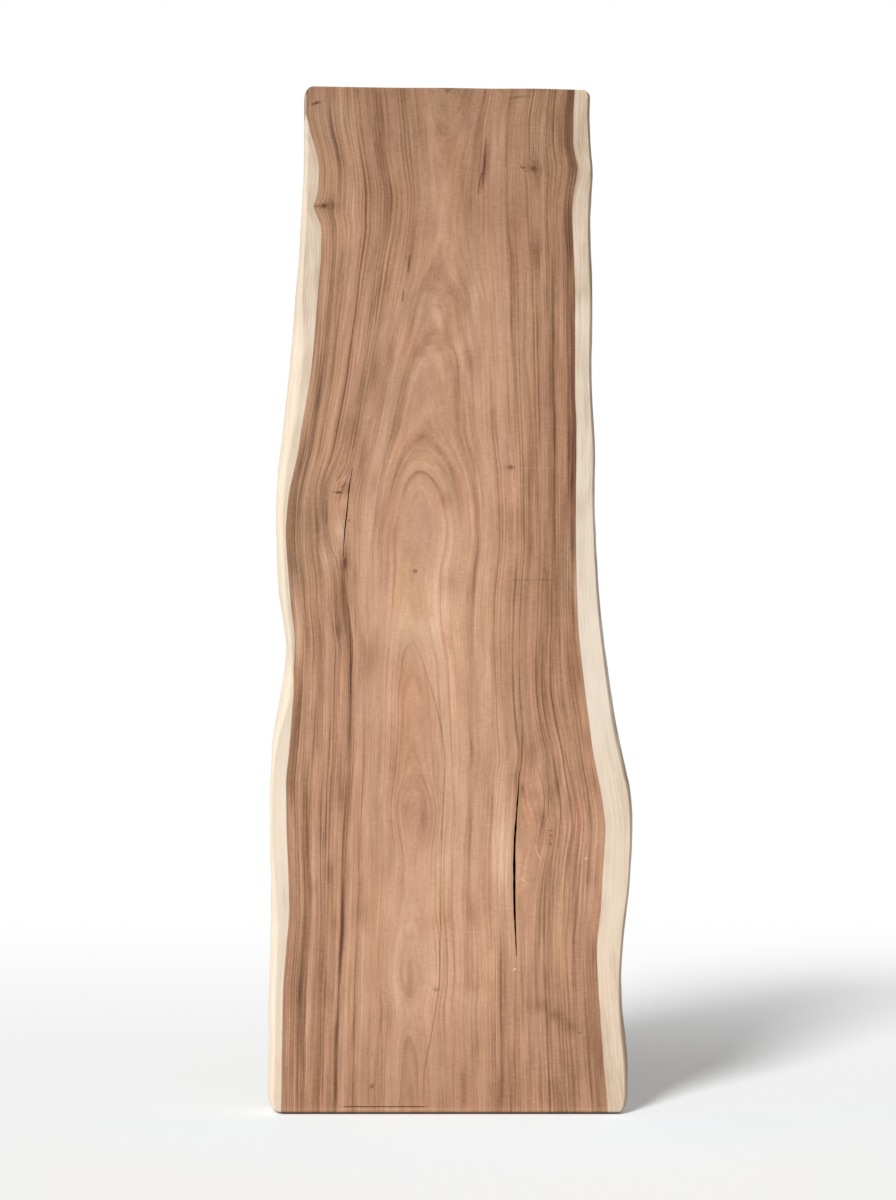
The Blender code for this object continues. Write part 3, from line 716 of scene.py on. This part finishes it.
def tones(points, radius, across):
    """Tone and warmth of the zones, bands, patches and the painted light at the foot at each point."""
    x, _, z = points.T
    wander = 0.0014 * ripple(31, z * 2.3) + 0.0007 * ripple(32, z * 8)
    rows = [(side, *row) for side, side_rows in RING_BANDS.items() for row in side_rows]
    bands = sum(band(radius + wander, across, z, *row) for row in rows)
    patches = sum(patch(x, z, *row) for row in PATCHES) * beside(points)
    tone, warmth = bands + patches
    # The paler band on the foot's arris is painted light
    height, half, pale = PAINTED_FOOT_LIGHT
    return tone + zone_tone(across, z) + pale * bell(z, height, half), warmth + along(WARMTH_ALONG, z)


def ring_strength(points, across):
    """How strongly the growth rings show: less in the heart and in the calm places."""
    x, _, z = points.T
    strength = 1 - HEART_CALM * zones(across)[1]
    near_face = beside(points)
    for calm_x, calm_z, half_width, half_height, share in CALM:
        strength *= 1 - share * bell(x, calm_x, half_width) * bell(z, calm_z, half_height) * near_face
    return strength


def sapwood_looks(points):
    """How much of each point is natural edge, and the tone and warmth of the sapwood there."""
    x, y, z = points.T
    right = rise(x, *LEFT_TO_RIGHT)
    skin = rise(np.minimum(y - FRONT, BACK - y), *SKIN_START)
    looks = []
    for part in (1, 2):
        left_line, right_line = ([(row[0], row[part]) for row in line] for line in (LEFT_SAP, RIGHT_SAP))
        looks.append((1 - right) * along(left_line, z) + right * along(right_line, z))
    tone, warmth = looks
    # The left natural edge is made paler as painted light, and the right one darker as painted shade
    return skin, tone + skin * (LEFT_EDGE_LIGHT * (1 - right) + RIGHT_EDGE_SHADE * right), warmth


def nearest_spot(points):
    """Each point's offset from its nearest spot, in the spot's half sizes, and the spot's tone."""
    x, _, z = points.T
    nearest, offset, tone = np.full_like(x, np.inf), np.zeros((len(x), 2)), np.zeros_like(x)
    for spot_x, spot_z, half_width, half_height, lean, dark in SPOTS:
        off_x, off_z = x - spot_x, z - spot_z
        off = np.stack([off_x / half_width, (off_z - lean * off_x) / half_height], 1)
        gap = np.maximum(np.hypot(*off.T) - 1, 0) * min(half_width, half_height)
        closer = gap < nearest
        nearest = np.where(closer, gap, nearest)
        offset[closer] = off[closer]
        tone[closer] = dark
    return with_distance(offset, nearest, points), tone


def nearest_stroke(points):
    """Each point's offset from its nearest stroke, in the stroke's half widths, and the stroke's tone."""
    place = points[:, ::2]
    nearest, offset = np.full(len(place), np.inf), np.zeros((len(place), 2))
    tone = np.zeros(len(place))
    for half, dark, line in STROKES:
        knots = np.array(line)
        lengths = np.hypot(*np.diff(knots, axis=0).T)
        before = np.concatenate([[0], np.cumsum(lengths)])
        for start, end, length, done in zip(knots, knots[1:], lengths, before):
            share = np.clip((place - start) @ (end - start) / length**2, 0, 1)
            off = place - start - share[:, None] * (end - start)
            gap = np.hypot(*off.T)
            closer = gap < nearest
            nearest = np.where(closer, gap, nearest)
            offset[closer] = off[closer] / half
            reached = np.clip((done + share * length) / before[-1], 0.02, 0.98)
            taper = np.sin(math.pi * reached) ** STROKE_TAPER
            tone[closer] = dark * taper[closer]
    return with_distance(offset, nearest, points), tone


def with_distance(offset, gap, points):
    """The offset with a third part that grows away from the mark, so that it fades before the next one."""
    away = np.maximum(rise(gap, *MARK_REACH), 1 - beside(points))
    return np.concatenate([offset * (1 - away)[:, None], NO_MARK * away[:, None]], 1)


class Graph:
    """Adds nodes to a material or a world and links them."""

    def __init__(self, owner):
        owner.use_nodes = True
        self.tree = owner.node_tree
        self.shader = self.tree.nodes.get("Principled BSDF")

    def put(self, socket, value):
        if isinstance(value, bpy.types.NodeSocket):
            self.tree.links.new(value, socket)
        else:
            socket.default_value = value

    def add(self, kind, *values, output=0, **settings):
        """A new node with these settings and first inputs, as the output asked for."""
        node = self.tree.nodes.new("ShaderNode" + kind)
        for name, value in settings.items():
            setattr(node, name, value)
        for socket, value in zip(node.inputs, values):
            self.put(socket, value)
        return node.outputs[output]

    def math(self, operation, *values, clamp=False):
        return self.add("Math", *values, operation=operation, use_clamp=clamp)

    def attribute(self, name, output="Fac"):
        return self.add("Attribute", attribute_name=name, output=output)

    def noise(self, place, name):
        """One of the noises of NOISE, read at a place."""
        scale, shift, detail, roughness = NOISE[name]
        moved = self.add("VectorMath", place, scale, shift, operation="MULTIPLY_ADD")
        return self.add("TexNoise", moved, 0.0, 1.0, detail, roughness)

    def remap(self, value, start, end, to_start=0.0, to_end=1.0, smooth=True):
        kind = "SMOOTHSTEP" if smooth else "LINEAR"
        return self.add("MapRange", value, start, end, to_start, to_end, interpolation_type=kind)

    def mix(self, share, first, second, blend="MIX"):
        mixed = self.add("Mix", share, data_type="RGBA", blend_type=blend, output=2)
        self.put(mixed.node.inputs[6], first)
        self.put(mixed.node.inputs[7], second)
        return mixed

    def tinted(self, shade, share, first, second):
        """The shade times a tint between the first and the second."""
        return self.mix(1.0, shade, self.mix(share, (*first, 1.0), (*second, 1.0)), blend="MULTIPLY")

    def ramp(self, value, stops):
        shade = self.add("ValToRGB", value)
        marks = shade.node.color_ramp.elements
        marks[0].position, marks[0].color = stops[0][0], colour(*stops[0][1])
        marks[1].position, marks[1].color = stops[-1][0], colour(*stops[-1][1])
        for place, rgb in stops[1:-1]:
            marks.new(place).color = colour(*rgb)
        return shade

    def total(self, start, *terms):
        """start plus each (value, weight) term, the value counted from its middle, 0.5."""
        result = start
        for value, weight in terms:
            result = self.math("ADD", result, self.math("MULTIPLY_ADD", value, weight, -0.5 * weight))
        return result


def colour(red, green, blue):
    """A colour given as it looks on a screen, from 0 to 255, as the linear values a shader takes."""
    def linear(value):
        share = value / 255
        return share / 12.92 if share <= 0.04045 else ((share + 0.055) / 1.055) ** 2.4

    return (linear(red), linear(green), linear(blue), 1.0)


# Noise in the wood: how fine it is across the rings, across the grain and along it, in waves a metre,
# then its shift, its detail and its roughness
NOISE = {
    "broad": ((42, 6, 1.7), (0, 0, 0), 2.0, 0.5),
    "middle": ((125, 10, 2.6), (3.1, 7.7, 1.3), 2.0, 0.5),
    "fine": ((420, 40, 5.5), (5.3, 1.9, 8.8), 3.0, 0.65),
    "fibre": ((260, 900, 16.0), (2.3, 4.9, 6.1), 2.0, 0.5),
    "pore": ((500, 1500, 42.0), (9.3, 2.2, 0.4), 1.0, 0.5),
    "cloud": ((18, 18, 9.0), (1.7, 3.3, 5.9), 4.0, 0.5),
    "ray": ((40, 70, 210), (6.6, 5.2, 4.3), 4.0, 0.6),
    "sway": ((9.0, 9.0, 1.6), (0, 0, 0), 2.0, 0.5),
    "small_sway": ((30, 20, 9.0), (4.4, 2.6, 7.1), 2.0, 0.5),
    "uneven_years": ((30, 0, 0), (0, 0, 0), 1.0, 0.5),
    "patchy_years": ((60, 8, 2.2), (2.8, 9.1, 3.7), 2.0, 0.5),
    "rose": ((50, 8, 1.6), (8.2, 6.4, 2.7), 3.0, 0.5),
    "gold": ((34, 12, 3.2), (1.2, 8.8, 6.3), 3.0, 0.5),
}

# Noise in space, its fineness counted along x, y and z
NOISE["rind"] = ((60, 110, 7.0), (2.0, 0.7, 4.1), 4.0, 0.6)
NOISE["rim"] = ((230, 230, 110), (0, 0, 0), 3.0, 0.5)

# Colours as they look on a screen, from 0 to 255, and the pairs of tints that the wood is shifted between
HEART_SHADES = [
    (0.00, (96, 62, 42)), (0.20, (123, 86, 61)), (0.36, (148, 107, 79)), (0.50, (170, 127, 98)),
    (0.66, (191, 146, 116)), (0.82, (208, 164, 133)), (1.00, (226, 188, 158)),
]
SAP_SHADES = [
    (0.00, (140, 114, 89)), (0.22, (178, 154, 128)), (0.38, (206, 186, 162)), (0.52, (227, 209, 187)),
    (1.00, (248, 234, 212)),
]
KNOT_DARK, KNOT_PALE = colour(84, 50, 30), colour(238, 200, 168)
# Colours of a check's lip and inside: partly the wood's own colour, partly painted shade
CHECK_LIP, CHECK_DEEP = colour(104, 48, 22), colour(56, 14, 2)
# The darkest painted shade along the foot, where the slab meets the floor
PAINTED_FOOT_SHADE = colour(46, 34, 26)
OLIVE_ROSE = ((0.960, 0.993, 0.967), (1.022, 0.988, 0.982))
COOL_WARM = ((0.972, 1.045, 1.085), (1.028, 0.955, 0.915))
MAUVE_GOLD = ((0.996, 0.987, 1.035), (1.009, 0.995, 0.945))
SAP_COOL_WARM = ((0.985, 1.005, 1.04), (1.01, 0.965, 0.935))

# Half the width over which heartwood turns to sapwood, the noise values between which a pore sets in,
# and the depths in a check, as shares of DARK_DEPTH, between which its lip and its inside darken, partly as
# painted shade
SAP_LINE_BLUR = 0.0011
PORE_RANGE = (0.60, 0.74)
LIP_RANGE, DEEP_RANGE = (0.0, 0.12), (0.10, 0.45)


def heartwood(g, place, noises, pores):
    """The heartwood's colour: growth rings, streaks, fibres, pores, strokes and knots."""
    ring_line, ring_hue = growth_rings(g, place)
    streaks = g.total(
        -0.15, (noises["broad"], 0.56), (noises["middle"], 0.38), (noises["fine"], 0.64), (ring_line, -0.40)
    )
    streaks = g.math("MULTIPLY", streaks, g.attribute("figure"))
    tone = g.total(
        g.math("ADD", g.attribute("tone"), 0.47),
        (noises["fibre"], 0.18), (noises["cloud"], 0.28), (noises["ray"], 0.22), (pores, -0.14),
    )
    tone = g.math("ADD", tone, streaks)
    tone = g.math("ADD", tone, mark(g, "strokes", "stroke_tone", 0.5))
    shade = hued(g, g.ramp(tone, HEART_SHADES), place, ring_hue)
    knots = mark(g, "spots", "spot_tone", 0.7)
    shade = g.mix(g.math("MULTIPLY", knots, -1.0, clamp=True), shade, KNOT_DARK)
    return g.mix(g.math("MULTIPLY", knots, 1.0, clamp=True), shade, KNOT_PALE)


def sapwood(g, noises, rind):
    """The sapwood's colour, weathered in streaks on the natural edges."""
    tone = g.total(
        g.math("ADD", g.attribute("sap_tone"), 0.44),
        (noises["middle"], 0.20), (noises["fine"], 0.36), (noises["fibre"], 0.3), (noises["cloud"], 0.4),
    )
    shade = g.ramp(g.math("ADD", tone, rind), SAP_SHADES)
    return g.tinted(shade, g.remap(g.attribute("sap_warmth"), -1.0, 1.0), *SAP_COOL_WARM)


def wood_material():
    """The wood: heartwood and sapwood, with painted shade along the foot, and the checks' insides darkened,
    partly as their own colour and partly as painted shade.
    """
    material = bpy.data.materials.new("wood")
    g = Graph(material)
    place = bent(g, g.attribute("rings", "Vector"))
    noises = {name: g.noise(place, name) for name in ("broad", "middle", "fine", "fibre", "cloud", "ray")}
    pores = g.remap(g.noise(place, "pore"), *PORE_RANGE)
    rind = g.noise(g.add("TexCoord", output="Object"), "rind")
    rind = g.math("MULTIPLY", g.total(0.0, (rind, 0.8)), g.attribute("skin"))

    ragged = g.math("MULTIPLY_ADD", noises["fibre"], 0.0014, -0.0007)
    outer = g.remap(g.math("ADD", g.attribute("sapwood"), ragged), -SAP_LINE_BLUR, SAP_LINE_BLUR)
    shade = g.mix(outer, heartwood(g, place, noises, pores), sapwood(g, noises, rind))
    # Painted shade along the foot, darkest where the slab meets the floor
    shade = g.mix(g.attribute("painted_foot_shade"), shade, PAINTED_FOOT_SHADE)
    # The checks' lips and insides darken with depth: partly their own darker wood, partly painted shade in
    # the recess
    cavity = g.attribute("cavity")
    shade = g.mix(g.remap(cavity, *LIP_RANGE), shade, CHECK_LIP)
    shade = g.mix(g.remap(cavity, *DEEP_RANGE), shade, CHECK_DEEP)
    g.put(g.shader.inputs["Base Color"], shade)

    g.put(g.shader.inputs["Roughness"], g.total(0.62, (noises["fine"], 0.18), (pores, 0.1)))
    g.shader.inputs["Specular IOR Level"].default_value = 0.3
    relief = g.total(0.0, (noises["fibre"], 0.5), (pores, -0.8), (noises["fine"], 0.4))
    bump = g.add("Bump")
    for name, value in {"Height": g.math("ADD", relief, rind), "Strength": 0.35, "Distance": 0.0004}.items():
        g.put(bump.node.inputs[name], value)
    g.put(g.shader.inputs["Normal"], bump)
    return material


def bent(g, place):
    """The place in the log, with the rings swaying a few millimetres along the grain."""
    sway = g.math("MULTIPLY_ADD", g.noise(place, "sway"), 0.006, -0.003)
    small = g.math("MULTIPLY_ADD", g.noise(place, "small_sway"), 0.003, -0.0015)
    return g.add("VectorMath", place, g.add("CombineXYZ", g.math("ADD", sway, small)), operation="ADD")


def growth_rings(g, place):
    """A thin dark line at the end of each year's growth, stronger in some years, and each year's own hue."""
    radius = g.add("SeparateXYZ", place)
    uneven = g.math("MULTIPLY", g.noise(place, "uneven_years"), 2.4)
    years = g.math("MULTIPLY_ADD", radius, 1 / RING_WIDTH, uneven)
    share = g.math("FRACT", years)
    line = g.math("MULTIPLY", g.remap(share, 0.25, 0.95), g.remap(share, 0.93, 1.0, 1.0, 0.0))
    year = g.add("TexWhiteNoise", noise_dimensions="1D", output="Color")
    g.put(year.node.inputs["W"], g.math("FLOOR", years))
    chance = g.add("SeparateColor", year)
    patchy = g.remap(g.noise(place, "patchy_years"), 0.35, 0.65)
    return g.math("MULTIPLY", line, g.math("MULTIPLY", chance, patchy)), chance.node.outputs[1]


def hued(g, shade, place, ring_hue):
    """The heartwood's colour, shifted from olive to rose, from cool to warm and from mauve to gold."""
    warmth = g.attribute("warmth")
    rose = g.total(g.math("ADD", warmth, 0.48), (g.noise(place, "rose"), 2.2), (ring_hue, 0.1))
    gold = g.total(0.42, (g.noise(place, "gold"), 2.3), (ring_hue, -0.1))
    shade = g.tinted(shade, g.remap(rose, 0.0, 1.0), *OLIVE_ROSE)
    shade = g.tinted(shade, g.remap(warmth, -1.0, 1.0, smooth=False), *COOL_WARM)
    return g.tinted(shade, g.remap(gold, 0.0, 1.0), *MAUVE_GOLD)


def mark(g, offset_name, tone_name, ragged):
    """The tone that the nearest spot or stroke adds, with a ragged rim."""
    length = g.add("VectorMath", g.attribute(offset_name, "Vector"), operation="LENGTH", output="Value")
    size = g.total(length, (g.noise(g.add("TexCoord", output="Object"), "rim"), 2 * ragged))
    return g.math("MULTIPLY", g.remap(size, *MARK_RIM, 1.0, 0.0), g.attribute(tone_name))


def write_attribute(mesh, name, values):
    """Stores a number or a vector for each point of the mesh."""
    kind, field = ("FLOAT_VECTOR", "vector") if values.ndim == 2 else ("FLOAT", "value")
    mesh.attributes.new(name, kind, "POINT").data.foreach_set(field, values.astype(np.float32).ravel())


def placed(name, data):
    """A new object with this data, linked into the scene."""
    made = bpy.data.objects.new(name, data)
    bpy.context.scene.collection.objects.link(made)
    return made


def dressed_slab():
    """The slab's surface with its attributes and its wood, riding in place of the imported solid."""
    mesh, depth = slab_mesh()
    points = np.empty(len(mesh.vertices) * 3, np.float32)
    mesh.vertices.foreach_get("co", points)
    points = points.reshape(-1, 3).astype(float)
    radius, across, height = wood_place(points)
    tone, warmth = tones(points, radius, across)
    skin, sap_tone, sap_warmth = sapwood_looks(points)
    spots, spot_tone = nearest_spot(points)
    strokes, stroke_tone = nearest_stroke(points)
    looks = {
        "rings": np.stack([radius, across, height], 1),
        "tone": tone,
        "warmth": warmth,
        "spots": spots,
        "spot_tone": spot_tone,
        "strokes": strokes,
        "stroke_tone": stroke_tone,
        "sapwood": radius - SAP_RADIUS,
        "sap_tone": sap_tone,
        "sap_warmth": sap_warmth,
        "cavity": np.clip(depth / DARK_DEPTH, 0, 1),
        "figure": ring_strength(points, across),
        "skin": skin,
        "painted_foot_shade": PAINTED_SHADE_STRENGTH * (1 - rise(points[:, 2], *PAINTED_SHADE_RISE)),
    }
    for name, values in looks.items():
        write_attribute(mesh, name, values)
    slab = placed("slab_surface", mesh)
    mesh.materials.append(wood_material())
    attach(slab, "root")
    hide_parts(CAD_NODE)


# The studio, with the focal length and the sensor in millimetres
CAMERA_DISTANCE = 5.0
CAMERA_HEIGHT = 1.2018
CAMERA_X = -0.0041
FOCAL_LENGTH = 64.24
SENSOR_WIDTH = 36
KEY_AZIMUTH = math.radians(35)
KEY_ELEVATION = math.radians(44)
KEY_STRENGTH = 2.75
KEY_SOFTNESS = math.radians(15)
SKY_STRENGTH = 0.22
FLOOR_HALF = 40.0
FLOOR_SHADE = (0.815, 0.825, 0.825, 1.0)
FLOOR_GLOW = 0.2
FADE_BEHIND = (0.2, 3.2)
FADE_AROUND = (4.0, 12.0)

# A cooler floor close in front of the slab, which evens out the warm light that the wood throws there
EVENED_SHADE = (0.735, 0.81, 0.85, 1.0)
EVEN_REACH = (0.05, 1.0)
EVEN_START = 0.06


def camera():
    """A long lens straight in front of the show face."""
    data = bpy.data.cameras.new("camera")
    data.lens = FOCAL_LENGTH
    data.sensor_width = SENSOR_WIDTH
    made = placed("camera", data)
    made.location = (CAMERA_X, FRONT - CAMERA_DISTANCE, CAMERA_HEIGHT)
    made.rotation_euler = (math.pi / 2, 0, 0)
    bpy.context.scene.camera = made


def key_light():
    """The soft sun, from the front left and above."""
    data = bpy.data.lights.new("key", "SUN")
    data.energy = KEY_STRENGTH
    data.angle = KEY_SOFTNESS
    level = math.cos(KEY_ELEVATION)
    towards = Vector((math.sin(KEY_AZIMUTH) * level, math.cos(KEY_AZIMUTH) * level, -math.sin(KEY_ELEVATION)))
    placed("key", data).rotation_euler = towards.to_track_quat("-Z", "Y").to_euler()


def sky():
    """White to the camera, and a softer even light on everything else."""
    world = bpy.data.worlds.new("studio")
    bpy.context.scene.world = world
    g = Graph(world)
    seen = g.add("LightPath", output="Is Camera Ray")
    background = g.tree.nodes["Background"]
    background.inputs["Color"].default_value = (1, 1, 1, 1)
    g.put(background.inputs["Strength"], g.remap(seen, 0.0, 1.0, SKY_STRENGTH, 1.0, smooth=False))


def floor_material():
    """A pale matt floor that fades to white far behind and around the slab."""
    material = bpy.data.materials.new("studio_floor")
    g = Graph(material)
    position = g.add("TexCoord", output="Object")
    depth = g.add("SeparateXYZ", position, output="Y")
    away = g.add("VectorMath", position, operation="LENGTH", output="Value")
    far = g.math("MAXIMUM", g.remap(depth, *FADE_BEHIND), g.remap(away, *FADE_AROUND))
    near = g.remap(away, *EVEN_REACH, 1.0, 0.0)
    in_front = g.remap(depth, FRONT - EVEN_START, FRONT, 1.0, 0.0)
    shade = g.mix(g.math("MULTIPLY", near, in_front), FLOOR_SHADE, EVENED_SHADE)
    g.put(g.shader.inputs["Base Color"], shade)
    g.shader.inputs["Emission Color"].default_value = (1, 1, 1, 1)
    g.shader.inputs["Emission Strength"].default_value = FLOOR_GLOW
    g.shader.inputs["Roughness"].default_value = 0.9
    g.shader.inputs["Specular IOR Level"].default_value = 0.1
    faded = g.add("MixShader", far, g.shader.outputs[0], g.add("Emission"))
    g.put(g.tree.nodes["Material Output"].inputs["Surface"], faded)
    return material


def studio_floor():
    """One wide flat floor under everything."""
    mesh = bpy.data.meshes.new("studio_floor")
    corners = [(x * FLOOR_HALF, y * FLOOR_HALF, 0) for x, y in ((-1, -1), (1, -1), (1, 1), (-1, 1))]
    mesh.from_pydata(corners, [], [(0, 1, 2, 3)])
    mesh.materials.append(floor_material())
    placed("studio_floor", mesh)


bpy.context.scene.view_settings.view_transform = "Standard"
camera()
key_light()
sky()
studio_floor()
dressed_slab()
